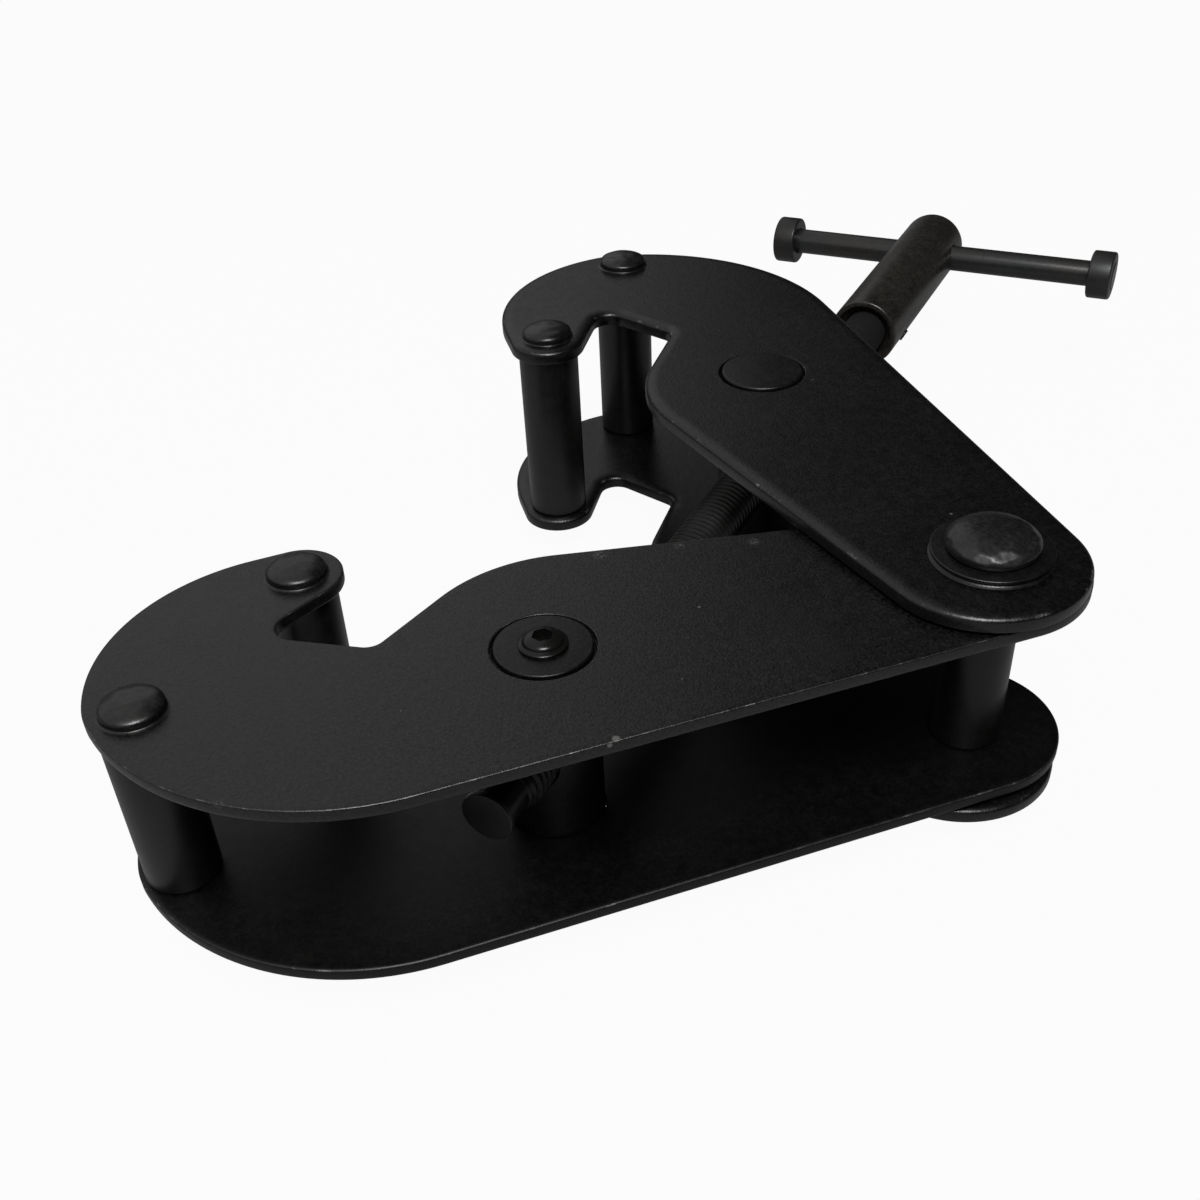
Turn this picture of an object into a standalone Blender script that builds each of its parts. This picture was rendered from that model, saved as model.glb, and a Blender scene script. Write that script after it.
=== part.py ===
"""Scissor beam clamp lying on its side, with a left- and right-hand screw and a sliding T-handle.

Metres, +Z up. The inner jaw lies along X, the outer jaw crosses it at the main pin, and the screw
ties the two swivelling trunnions together.
"""

import math

import bmesh
import bpy
from mathutils import Matrix, Vector

# Place of the main pin, above the middle of the clamp's own bounding box
PIN_X = 0.0171
PIN_Y = -0.1219
OPENING = math.radians(92.5)

# Plates and widths
PLATE_T = 0.004
WIDTH = 0.061
JAW_GAP = 0.0008
FIT = 0.0003
EDGE = 0.0005

# Jaw outline: distances along the back edge from the main pin, and outwards towards the hook
PIVOT_END_R = 0.0245
BACK_OUT = 0.0225
BELLY_ALONG = 0.1411
BELLY_R = 0.0611
NOSE_R = 0.0255
NOSE_TURN = math.radians(-14.3)
CROWN_R = 0.0451
CROWN_TURN = math.radians(3.0)
TIP_ALONG = 0.1488
TIP_OUT = 0.0633
TIP_R = 0.0109
SLOT_ALONG = 0.1523
SLOT_OUT = 0.0426
SLOT_R = 0.0052
VALLEY_ALONG = 0.1386
VALLEY_OUT = 0.0329
VALLEY_R = 0.0043
HUMP_ALONG = 0.0978
HUMP_OUT = 0.0097
HUMP_R = 0.0381

# Riveted spacers
NOSE_RIVET_EDGE = 0.0099
SPACER_R = 0.0088
SHANK_R = 0.0050
HEAD_R = 0.0074
HEAD_RIM = 0.0013
HEAD_H = 0.0030

# Main pin
PIN_R = 0.0060
PIN_HEAD_R = 0.0110
PIN_HEAD_RIM = 0.0013
PIN_HEAD_H = 0.0052
WASHER_R = 0.0143
WASHER_T = 0.0016
SLEEVE_R = 0.0088

# Trunnions
TRUNNION_ALONG = 0.1036
TRUNNION_OUT = 0.0134
TRUNNION_R = 0.0116
TRUNNION_FIT = 0.0004
TRUNNION_PROUD = 0.0008
SCREW_HEAD_R = 0.0056
SCREW_HEAD_H = 0.0024
SCREW_R = 0.0030
SCREW_L = 0.0100
SOCKET_AF = 0.0047
SOCKET_DEPTH = 0.0016

# Screw spindle, measured from the change of hand at its middle
SPINDLE_R = 0.0070
NECK_R = 0.0055
NECK_L = 0.0080
RELIEF_R = 0.0058
RELIEF_L = 0.0030
STOP_REACH = 0.0955
STOP_R = 0.0063
STOP_T = 0.0015

# T-handle
HANDLE_REACH = 0.1625
BOSS_R = 0.0113
BOSS_L = 0.0850
BOSS_EDGE = 0.0010
SOCKET_L = 0.0300
ROLL_PIN_R = 0.0020
ROLL_PIN_WALL = 0.0007
ROLL_PIN_INSET = 0.0155
ROLL_PIN_TURN = math.radians(30)
ROLL_PIN_PROUD = 0.0006
BAR_R = 0.0044
BAR_INSET = 0.0120
BAR_L = 0.1270
BAR_OFFSET = 0.0057
BAR_TURN = math.radians(1.6)
CAP_R = 0.0082
CAP_L = 0.0080
CAP_EDGE = 0.0008

# Facet height allowed on curves
CHORD = 0.00007

# Heights from the middle plane
OUTER_FACE = WIDTH / 2
OUTER_MID = OUTER_FACE - PLATE_T / 2
INNER_FACE = OUTER_FACE - PLATE_T - JAW_GAP
INNER_MID = INNER_FACE - PLATE_T / 2
WASHER_FOOT = OUTER_FACE + FIT
PIN_HEAD_FOOT = WASHER_FOOT + WASHER_T + FIT
LOWEST = PIN_HEAD_FOOT + PIN_HEAD_H

for old in list(bpy.data.objects):
    bpy.data.objects.remove(old, do_unlink=True)

clamp = bpy.data.collections.new("beam_clamp")
cutters = bpy.data.collections.new("cutters")
bpy.context.scene.collection.children.link(clamp)
bpy.context.scene.collection.children.link(cutters)


def sides(radius, turn=2 * math.pi):
    """Facets along an arc of this radius, so that none stands more than CHORD off it."""
    step = 2 * math.acos(max(0.5, 1 - CHORD / radius))
    return max(3, math.ceil(turn / step))


def round_sides(radius):
    return 4 * math.ceil(sides(radius) / 4)


def arc(centre, radius, start, turn, count):
    points = []
    for i in range(count + 1):
        a = start + turn * i / count
        points.append((centre[0] + radius * math.cos(a), centre[1] + radius * math.sin(a)))
    return points


def tangent_chain(circles):
    """Outline round circles (x, y, radius, hand) joined by tangent lines, hand +1 for a convex arc."""
    headings = []
    for i, (x, y, r, hand) in enumerate(circles):
        x2, y2, r2, hand2 = circles[(i + 1) % len(circles)]
        gap = math.hypot(x2 - x, y2 - y)
        lean = math.asin(max(-1.0, min(1.0, (hand * r - hand2 * r2) / gap)))
        headings.append(math.atan2(y2 - y, x2 - x) + lean)
    points = []
    for i, (x, y, r, hand) in enumerate(circles):
        start = headings[i - 1] - hand * math.pi / 2
        turn = (hand * (headings[i] - headings[i - 1])) % (2 * math.pi)
        if turn > 1.9 * math.pi:
            turn = 0.0
        points += arc((x, y), r, start, hand * turn, sides(r, turn))
    return points


def next_arc(circle, radius, heading):
    """The circle of another radius that carries on from this one where both face this way."""
    x, y, r, hand = circle
    return (x + (r - radius) * math.cos(heading), y + (r - radius) * math.sin(heading), radius, hand)


def nose_arcs():
    """The long arc of the back and the tighter one of the nose that carries on from it."""
    belly = (BELLY_ALONG, BELLY_R - BACK_OUT, BELLY_R, 1)
    return belly, next_arc(belly, NOSE_R, NOSE_TURN)


def nose_rivet_place():
    """Inset from the edge where the back's arc passes into the nose's."""
    belly, nose = nose_arcs()
    return next_arc(nose, NOSE_RIVET_EDGE, NOSE_TURN)[:2]


def jaw_outline():
    """The one blank that both jaws are cut to, anticlockwise, in (along, out)."""
    belly, nose = nose_arcs()
    crown = next_arc(nose, CROWN_R, CROWN_TURN)
    return tangent_chain([
        (0.0, PIVOT_END_R - BACK_OUT, PIVOT_END_R, 1),
        belly,
        nose,
        crown,
        (TIP_ALONG, TIP_OUT, TIP_R, 1),
        (SLOT_ALONG, SLOT_OUT, SLOT_R, -1),
        (VALLEY_ALONG, VALLEY_OUT, VALLEY_R, -1),
        (HUMP_ALONG, HUMP_OUT, HUMP_R, 1),
    ])


def turned_profile(points):
    mesh = bpy.data.meshes.new("profile")
    mesh.from_pydata([(r, 0.0, z) for r, z in points], [(i, i + 1) for i in range(len(points) - 1)], [])
    return mesh


def finish(obj, colour, metal, rough, smooth=True):
    material = bpy.data.materials.new(obj.name)
    material.use_nodes = True
    shader = material.node_tree.nodes["Principled BSDF"]
    shader.inputs["Base Color"].default_value = (*colour, 1.0)
    shader.inputs["Metallic"].default_value = metal
    shader.inputs["Roughness"].default_value = rough
    obj.data.materials.clear()
    obj.data.materials.append(material)
    if smooth:
        for face in obj.data.polygons:
            face.use_smooth = True
        obj.data.set_sharp_from_angle(angle=math.radians(35))


BLACK = (0.030, 0.029, 0.027)
DARK = (0.040, 0.038, 0.035)
STEEL = (0.16, 0.155, 0.15)


def turned(name, points, place, colour=BLACK, metal=0.4, rough=0.45, parent=None, home=clamp):
    """A solid turned about its own Z from an (r, z) profile that runs down its outer side."""
    obj = bpy.data.objects.new(name, turned_profile(points))
    home.objects.link(obj)
    widest = max(r for r, z in points)
    screw = obj.modifiers.new("turn", "SCREW")
    screw.axis = "Z"
    screw.steps = round_sides(widest)
    screw.render_steps = screw.steps
    screw.use_merge_vertices = True
    screw.merge_threshold = 0.00001
    screw.use_smooth_shade = True
    seat(obj, place, parent)
    finish(obj, colour, metal, rough, smooth=False)
    return obj


def seat(obj, place, parent=None):
    if parent is not None:
        obj.parent = parent
        obj.matrix_parent_inverse = Matrix.Identity(4)
    obj.matrix_basis = place


def axis_empty(name, place):
    obj = bpy.data.objects.new(name, None)
    clamp.objects.link(obj)
    obj.empty_display_size = 0.01
    obj.matrix_basis = place
    return obj


def cutter(name, mesh_points, place, count=None):
    """A turned tool body, kept out of the model."""
    obj = bpy.data.objects.new(name, turned_profile(mesh_points))
    cutters.objects.link(obj)
    screw = obj.modifiers.new("turn", "SCREW")
    screw.axis = "Z"
    screw.steps = count or round_sides(max(r for r, z in mesh_points))
    screw.render_steps = screw.steps
    screw.use_merge_vertices = True
    screw.merge_threshold = 0.00001
    obj.hide_render = True
    obj.display_type = "WIRE"
    obj.matrix_basis = place
    return obj


def cut(obj, tool):
    boolean = obj.modifiers.new("cut " + tool.name, "BOOLEAN")
    boolean.operation = "DIFFERENCE"
    boolean.solver = "EXACT"
    boolean.object = tool


def rod_profile(radius, low, high, edge):
    return [
        (0.0, high),
        (radius - edge, high),
        (radius, high - edge),
        (radius, low + edge),
        (radius - edge, low),
        (0.0, low),
    ]


def tube_profile(outer, inner, low, high, edge):
    return [
        (inner, high),
        (outer - edge, high),
        (outer, high - edge),
        (outer, low + edge),
        (outer - edge, low),
        (inner, low),
        (inner, high),
    ]


def dome(radius, rim, height, foot, rings=4):
    """The right half of a domed head, from its crown at the axis down to its foot."""
    points = []
    for i in range(rings + 1):
        a = math.pi / 2 * (1 - i / rings)
        points.append((radius * math.cos(a), foot + rim + (height - rim) * math.sin(a)))
    points[0] = (0.0, foot + height)
    points.append((radius - rim / 3, foot))
    return points


def double_headed(radius, head_r, rim, height, foot):
    top = dome(head_r, rim, height, foot)
    half = top + [(radius, foot)]
    return half + [(r, -z) for r, z in reversed(half)]


def plate(name, place, holes, parent, colour, rough):
    """The jaw blank with its holes, filled and thickened both ways from its middle."""
    curve = bpy.data.curves.new(name, "CURVE")
    curve.dimensions = "2D"
    curve.fill_mode = "BOTH"
    curve.extrude = PLATE_T / 2 - EDGE
    curve.bevel_depth = EDGE
    curve.bevel_resolution = 0
    curve.offset = -EDGE
    loops = [jaw_outline()]
    for x, y, r in holes:
        loops.append(arc((x, y), r, 0.0, 2 * math.pi, round_sides(r))[:-1])
    for loop in loops:
        clean = []
        for p in loop:
            if not clean or math.dist(p, clean[-1]) > 0.00005:
                clean.append(p)
        if math.dist(clean[0], clean[-1]) < 0.00005:
            clean.pop()
        spline = curve.splines.new("POLY")
        spline.points.add(len(clean) - 1)
        for i, p in enumerate(clean):
            spline.points[i].co = (p[0], p[1], 0.0, 1.0)
        spline.use_cyclic_u = True
    source = bpy.data.objects.new(name + "_blank", curve)
    cutters.objects.link(source)
    graph = bpy.context.evaluated_depsgraph_get()
    graph.update()
    mesh = bpy.data.meshes.new_from_object(source.evaluated_get(graph))
    work = bmesh.new()
    work.from_mesh(mesh)
    bmesh.ops.remove_doubles(work, verts=work.verts, dist=0.000002)
    bmesh.ops.recalc_face_normals(work, faces=work.faces)
    work.to_mesh(mesh)
    work.free()
    bpy.data.objects.remove(source, do_unlink=True)
    obj = bpy.data.objects.new(name, mesh)
    clamp.objects.link(obj)
    seat(obj, place, parent)
    finish(obj, colour, 0.35, rough)
    return obj


def lift(z):
    return Matrix.Translation((0.0, 0.0, z))


def spot(along, out, z=0.0):
    return Matrix.Translation((along, out, z))


# The two jaws' frames: the inner blank is turned over about Y, the outer one swings by the opening
middle = Vector((PIN_X, PIN_Y, LOWEST))
inner_frame = Matrix.Translation(middle) @ Matrix.Rotation(math.pi, 4, "Y")
outer_frame = Matrix.Translation(middle) @ Matrix.Rotation(math.pi - OPENING, 4, "Z")
inner_jaw = axis_empty("inner_jaw_axis", inner_frame)
outer_jaw = axis_empty("outer_jaw_axis", outer_frame)

hole_plan = [
    (0.0, 0.0, PIN_R + FIT),
    (TRUNNION_ALONG, TRUNNION_OUT, TRUNNION_R + TRUNNION_FIT),
    (*nose_rivet_place(), SHANK_R + FIT),
    (TIP_ALONG, TIP_OUT, SHANK_R + FIT),
]
plate("inner_plate_top", lift(-INNER_MID), hole_plan, inner_jaw, (0.050, 0.047, 0.042), 0.42)
plate("inner_plate_bottom", lift(INNER_MID), hole_plan, inner_jaw, (0.045, 0.042, 0.038), 0.42)
plate("outer_plate_top", lift(OUTER_MID), hole_plan, outer_jaw, (0.040, 0.038, 0.034), 0.40)
plate("outer_plate_bottom", lift(-OUTER_MID), hole_plan, outer_jaw, (0.036, 0.034, 0.031), 0.40)

# Spacer tubes and the rivets through them
inner_gap = INNER_FACE - PLATE_T - FIT
outer_gap = OUTER_FACE - PLATE_T - FIT
inner_tube = tube_profile(SPACER_R, SHANK_R + FIT, -inner_gap, inner_gap, EDGE)
outer_tube = tube_profile(SPACER_R, SHANK_R + FIT, -outer_gap, outer_gap, EDGE)
inner_rivet = double_headed(SHANK_R, HEAD_R, HEAD_RIM, HEAD_H, INNER_FACE + FIT)
outer_rivet = double_headed(SHANK_R, HEAD_R, HEAD_RIM, HEAD_H, OUTER_FACE + FIT)
nose_spot = spot(*nose_rivet_place())
tip_spot = spot(TIP_ALONG, TIP_OUT)
turned("inner_nose_spacer", inner_tube, nose_spot, DARK, 0.5, 0.38, inner_jaw)
turned("inner_tip_spacer", inner_tube, tip_spot, DARK, 0.5, 0.38, inner_jaw)
turned("inner_nose_rivet", inner_rivet, nose_spot, BLACK, 0.4, 0.35, inner_jaw)
turned("inner_tip_rivet", inner_rivet, tip_spot, BLACK, 0.4, 0.35, inner_jaw)
turned("outer_back_spacer", outer_tube, nose_spot, DARK, 0.5, 0.38, outer_jaw)
turned("outer_tip_spacer", outer_tube, tip_spot, DARK, 0.5, 0.38, outer_jaw)
turned("outer_back_rivet", outer_rivet, nose_spot, BLACK, 0.4, 0.35, outer_jaw)
turned("outer_tip_rivet", outer_rivet, tip_spot, BLACK, 0.4, 0.35, outer_jaw)

# Main pin with its washers, and the sleeve that the load hangs on
pin_frame = Matrix.Translation(middle)
sleeve = tube_profile(SLEEVE_R, PIN_R + FIT, -inner_gap, inner_gap, EDGE)
turned("pivot_sleeve", sleeve, pin_frame, DARK, 0.5, 0.36)
pin = double_headed(PIN_R, PIN_HEAD_R, PIN_HEAD_RIM, PIN_HEAD_H, PIN_HEAD_FOOT)
turned("main_pin", pin, pin_frame, BLACK, 0.5, 0.35)
ring = tube_profile(WASHER_R, PIN_R + FIT, WASHER_FOOT, WASHER_FOOT + WASHER_T, EDGE)
turned("pivot_washer_top", ring, pin_frame, BLACK, 0.4, 0.4)
under = [(r, -z) for r, z in reversed(ring)]
turned("pivot_washer_bottom", under, pin_frame, BLACK, 0.4, 0.4)

# Trunnions at the two ends of the screw
inner_trunnion_at = inner_frame @ Vector((TRUNNION_ALONG, TRUNNION_OUT, 0.0))
outer_trunnion_at = outer_frame @ Vector((TRUNNION_ALONG, TRUNNION_OUT, 0.0))
span = outer_trunnion_at - inner_trunnion_at
screw_dir = span.normalized()
across = Vector((screw_dir.y, -screw_dir.x, 0.0))
half_span = span.length / 2


def along_screw(origin):
    """A frame whose Z runs along the screw towards the handle, and whose X runs along the T-bar."""
    x = Matrix.Rotation(-BAR_TURN, 3, screw_dir) @ across
    y = screw_dir.cross(x)
    turn = Matrix((x, y, screw_dir)).transposed().to_4x4()
    return Matrix.Translation(origin) @ turn


def screw_point(w):
    return inner_trunnion_at + screw_dir * (half_span + w)


inner_half = INNER_FACE + TRUNNION_PROUD
outer_half = OUTER_FACE + TRUNNION_PROUD
barrel = rod_profile(TRUNNION_R, -inner_half, inner_half, EDGE)
inner_trunnion = turned("inner_trunnion", barrel, Matrix.Translation(inner_trunnion_at), DARK, 0.4, 0.42)
barrel = rod_profile(TRUNNION_R, -outer_half, outer_half, EDGE)
outer_trunnion = turned("outer_trunnion", barrel, Matrix.Translation(outer_trunnion_at), DARK, 0.4, 0.42)
bore_reach = 2 * TRUNNION_R
bore = [(0.0, bore_reach), (SPINDLE_R + FIT, bore_reach), (SPINDLE_R + FIT, -bore_reach), (0.0, -bore_reach)]
cut(inner_trunnion, cutter("inner_bore", bore, along_screw(inner_trunnion_at)))
cut(outer_trunnion, cutter("outer_bore", bore, along_screw(outer_trunnion_at)))
screw_hole = [
    (0.0, inner_half + EDGE),
    (SCREW_R + FIT, inner_half + EDGE),
    (SCREW_R + FIT, inner_half - SCREW_L - FIT),
    (0.0, inner_half - SCREW_L - FIT),
]
cut(inner_trunnion, cutter("screw_hole", screw_hole, Matrix.Translation(inner_trunnion_at)))
screw_seat = inner_half + FIT
button = dome(SCREW_HEAD_R, SCREW_HEAD_H / 5, SCREW_HEAD_H, screw_seat)
button += [(SCREW_R, screw_seat), (SCREW_R, screw_seat - SCREW_L), (0.0, screw_seat - SCREW_L)]
screw = turned("trunnion_screw", button, Matrix.Translation(inner_trunnion_at), STEEL, 0.9, 0.3)
socket_foot = screw_seat + SCREW_HEAD_H - SOCKET_DEPTH
socket = [
    (0.0, screw_seat + 2 * SCREW_HEAD_H),
    (SOCKET_AF / math.sqrt(3), screw_seat + 2 * SCREW_HEAD_H),
    (SOCKET_AF / math.sqrt(3), socket_foot),
    (0.0, socket_foot - SOCKET_AF / 8),
]
cut(screw, cutter("hex_socket", socket, Matrix.Translation(inner_trunnion_at), 6))

# Screw spindle: stop disc, turned neck, right-hand thread, relief, left-hand thread, shank in the boss
stop_face = -STOP_REACH
neck_end = stop_face + STOP_T + FIT
thread_start = neck_end + NECK_L
shank_end = HANDLE_REACH + SOCKET_L - 2 * FIT
stop = rod_profile(STOP_R, stop_face, stop_face + STOP_T, STOP_T / 5)
turned("spindle_stop_disc", stop, along_screw(screw_point(0.0)), STEEL, 0.5, 0.4)
spindle_line = [
    (0.0, shank_end),
    (SPINDLE_R - BOSS_EDGE, shank_end),
    (SPINDLE_R, shank_end - BOSS_EDGE),
    (SPINDLE_R, RELIEF_L / 2 + SPINDLE_R - RELIEF_R),
    (RELIEF_R, RELIEF_L / 2),
    (RELIEF_R, -RELIEF_L / 2),
    (SPINDLE_R, -RELIEF_L / 2 - SPINDLE_R + RELIEF_R),
    (SPINDLE_R, thread_start + SPINDLE_R - NECK_R),
    (NECK_R, thread_start),
    (NECK_R, neck_end),
    (0.0, neck_end),
]
spindle = turned("spindle", spindle_line, along_screw(screw_point(0.0)), DARK, 0.7, 0.35)

# T-handle: boss on the shank, roll pin through both, sliding bar with a cap on each end
boss_frame = along_screw(screw_point(HANDLE_REACH))
boss_line = [
    (0.0, BOSS_L),
    (BOSS_R - BOSS_EDGE, BOSS_L),
    (BOSS_R, BOSS_L - BOSS_EDGE),
    (BOSS_R, BOSS_EDGE / 2),
    (BOSS_R - BOSS_EDGE / 2, 0.0),
    (SPINDLE_R + FIT, 0.0),
    (SPINDLE_R + FIT, SOCKET_L),
    (0.0, SOCKET_L + SPINDLE_R / 3),
]
boss = turned("handle_boss", boss_line, boss_frame, (0.060, 0.050, 0.042), 0.5, 0.42)
lay_along_bar = Matrix.Rotation(math.pi / 2, 4, "Y")
pin_turn = Matrix.Rotation(ROLL_PIN_TURN, 4, "Z")
pin_place = boss_frame @ lift(ROLL_PIN_INSET) @ pin_turn @ lay_along_bar
bar_place = boss_frame @ lift(BOSS_L - BAR_INSET) @ lay_along_bar
reach = 2 * BOSS_R
pin_bore = [(0.0, reach), (ROLL_PIN_R + FIT, reach), (ROLL_PIN_R + FIT, -reach), (0.0, -reach)]
bar_bore = [(0.0, reach), (BAR_R + FIT, reach), (BAR_R + FIT, -reach), (0.0, -reach)]
pin_tool = cutter("pin_bore", pin_bore, pin_place)
cut(boss, pin_tool)
cut(spindle, pin_tool)
cut(boss, cutter("bar_bore", bar_bore, bar_place))
pin_reach = BOSS_R + ROLL_PIN_PROUD
pin_tube = tube_profile(ROLL_PIN_R, ROLL_PIN_R - ROLL_PIN_WALL, -pin_reach, pin_reach, FIT)
turned("boss_roll_pin", pin_tube, pin_place, STEEL, 0.8, 0.35)

bar_low = BAR_OFFSET - BAR_L / 2
bar_high = BAR_OFFSET + BAR_L / 2
turned("tommy_bar", rod_profile(BAR_R, bar_low, bar_high, EDGE), bar_place, STEEL, 0.7, 0.35)
low_cap = tube_profile(CAP_R, BAR_R + FIT, bar_low + FIT, bar_low + FIT + CAP_L, CAP_EDGE)
high_cap = tube_profile(CAP_R, BAR_R + FIT, bar_high - FIT - CAP_L, bar_high - FIT, CAP_EDGE)
turned("bar_cap_left", low_cap, bar_place, STEEL, 0.6, 0.4)
turned("bar_cap_right", high_cap, bar_place, STEEL, 0.6, 0.4)
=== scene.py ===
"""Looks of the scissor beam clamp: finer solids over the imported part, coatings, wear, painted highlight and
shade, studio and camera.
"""

import math
import random

import bmesh
import bpy
from mathutils import Matrix, Vector, geometry, noise


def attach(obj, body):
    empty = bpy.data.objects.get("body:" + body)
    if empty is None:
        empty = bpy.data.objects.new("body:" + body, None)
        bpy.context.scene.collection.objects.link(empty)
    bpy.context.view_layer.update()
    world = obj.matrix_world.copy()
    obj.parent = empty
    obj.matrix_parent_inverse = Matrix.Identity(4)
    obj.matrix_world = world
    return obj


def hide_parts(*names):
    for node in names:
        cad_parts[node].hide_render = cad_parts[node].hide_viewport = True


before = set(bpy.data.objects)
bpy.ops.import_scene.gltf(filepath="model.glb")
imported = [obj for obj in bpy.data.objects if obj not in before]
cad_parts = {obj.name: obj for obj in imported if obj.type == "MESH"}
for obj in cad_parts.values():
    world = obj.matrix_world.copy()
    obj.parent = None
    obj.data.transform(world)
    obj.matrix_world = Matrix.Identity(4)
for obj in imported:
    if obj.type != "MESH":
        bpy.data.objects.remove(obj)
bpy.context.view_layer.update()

# Lengths are in mm, and MM turns them into metres
MM = 0.001
PIN = Vector((17.1, -121.9, 37.9)) * MM
OPENING = math.radians(92.5)

# Plates: thickness, then how far from the clamp's middle plane their middles, outer faces and spacers' ends lie
PLATE_T = 4.0
MIDDLE = {"inner": 23.7, "outer": 28.5}
FACE = {"inner": 25.7, "outer": 30.5}
SPACER_END = {"inner": 21.4, "outer": 26.2}

# Heights above the floor of the upper faces, where the wear marks lie
INNER_TOP = 63.6
OUTER_TOP = 68.4

# Places on a jaw plate: along its back edge from the main pin, and outwards towards the hook
SPOTS = {"pin": (0.0, 0.0), "trunnion": (103.6, 13.4), "nose": (190.71, 25.95), "tip": (148.8, 63.3)}

# Radii
PIN_HOLE_R = 6.3
RIVET_HOLE_R = 5.3
HOLES = {"pin": PIN_HOLE_R, "trunnion": 12.0, "nose": RIVET_HOLE_R, "tip": RIVET_HOLE_R}
TUBE_R = 8.8
TUBE_EDGE = 0.5
RIVET_R = 5.0
RIVET_HEAD_R = 7.2
RIVET_HEAD_H = 3.28
PIN_R = 6.0
PIN_HEAD_R = 10.9
PIN_HEAD_RIM = 1.7
PIN_HEAD_H = 5.4
PIN_POWER = 2.05
WASHER_R = 14.2
WASHER_LIFT = 0.3
WASHER_T = 1.6
BARREL_R = 11.8
SPINDLE_R = 7.0
BORE_R = 7.3
NECK_R = 5.5
STOP_R = 6.3
BOSS_R = 11.3
ROLL_PIN_R = 2.0
BAR_R = 4.4
CAP_R = 8.2

# A foot stays this much off what it sits on, so that no two faces coincide
FOOT_GAP = 0.02

# The inner jaw is the same blank turned over
JAW = {
    "inner": Matrix.Translation(PIN) @ Matrix.Rotation(math.pi, 4, "Y"),
    "outer": Matrix.Translation(PIN) @ Matrix.Rotation(math.pi - OPENING, 4, "Z"),
}


# Outline of the jaws, for any inset from the edge

BACK_OUT = 22.5
BELLY_R = 61.1
NOSE_R = 25.5
NOSE_TURN = math.radians(-14.3)
CROWN_R = 45.1
CROWN_TURN = math.radians(3.0)
TIP_R = 10.9


def arc_points(centre, radius, start, turn, count):
    out = []
    for i in range(count + 1):
        a = start + turn * i / count
        out.append((centre[0] + radius * math.cos(a), centre[1] + radius * math.sin(a)))
    return out


def next_arc(circle, radius, heading):
    """The circle that carries an arc on with another radius, smoothly, from where it has this heading."""
    x, y, r, hand = circle
    return (x + (r - radius) * math.cos(heading), y + (r - radius) * math.sin(heading), radius, hand)


def jaw_outline(inset=0.0):
    """The outline as arcs (x, y, radius, side) joined by their common tangents."""
    belly = (141.1, BELLY_R - BACK_OUT, BELLY_R, 1)
    nose = next_arc(belly, NOSE_R, NOSE_TURN)
    crown_arc = next_arc(nose, CROWN_R, CROWN_TURN)
    pivot_end = (0.0, 2.0, 24.5, 1)
    tip = (*SPOTS["tip"], TIP_R, 1)
    slot = (152.3, 42.6, 5.2, -1)
    valley = (138.6, 32.9, 4.3, -1)
    hump = (97.8, 9.7, 38.1, 1)
    circles = [pivot_end, belly, nose, crown_arc, tip, slot, valley, hump]
    counts = [64, 40, 30, 40, 40, 24, 18, 34]
    headings = []
    for i, (x, y, r, hand) in enumerate(circles):
        x2, y2, r2, hand2 = circles[(i + 1) % len(circles)]
        gap = math.hypot(x2 - x, y2 - y)
        lean = math.asin(max(-1.0, min(1.0, (hand * r - hand2 * r2) / gap)))
        headings.append(math.atan2(y2 - y, x2 - x) + lean)
    points = []
    for i, (x, y, r, hand) in enumerate(circles):
        start = headings[i - 1] - hand * math.pi / 2
        turn = (hand * (headings[i] - headings[i - 1])) % (2 * math.pi)
        # rounding can leave a turn just below zero, which reads as almost a full one
        if turn > 1.9 * math.pi:
            turn = 0.0
        points += arc_points((x, y), r - hand * inset, start, hand * turn, counts[i])
    return points


def outline_mask():
    """Which points stay: neighbouring arcs can share one, and every inset has to keep the same ones."""
    base = jaw_outline()
    return [i for i, p in enumerate(base) if math.dist(p, base[i - 1]) > 0.01]


KEEP = outline_mask()


def new_object(name, bm, angle=32):
    bmesh.ops.recalc_face_normals(bm, faces=bm.faces)
    mesh = bpy.data.meshes.new(name)
    bm.to_mesh(mesh)
    bm.free()
    smooth_but_sharp(mesh, angle)
    obj = bpy.data.objects.new(name, mesh)
    bpy.context.scene.collection.objects.link(obj)
    return obj


def smooth_but_sharp(mesh, angle):
    for face in mesh.polygons:
        face.use_smooth = True
    mesh.set_sharp_from_angle(angle=math.radians(angle))


# Plate edges, as rings (inset, drop) from the flat face to the side: rolled over, eased and crisp
SOFT = [(3.9, 0.0), (3.5, 0.0), (3.0, 0.015), (2.6, 0.045), (2.1, 0.10), (1.5, 0.19),
        (1.05, 0.30), (0.7, 0.44), (0.42, 0.62), (0.20, 0.86), (0.06, 1.12), (0.0, 1.45)]
EASED = [(2.6, 0.0), (1.5, 0.0), (1.0, 0.02), (0.62, 0.07), (0.34, 0.17), (0.13, 0.34), (0.03, 0.52), (0.0, 0.7)]
CRISP = [(1.6, 0.0), (0.60, 0.0), (0.38, 0.03), (0.2, 0.1), (0.08, 0.22), (0.0, 0.4)]
# Hole edges, as steps (added radius, drop); the first two hold the flat face flat
HOLE_EDGE = [(0.30, 0.0), (0.22, 0.0), (0.10, 0.04), (0.0, 0.16)]


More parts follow.
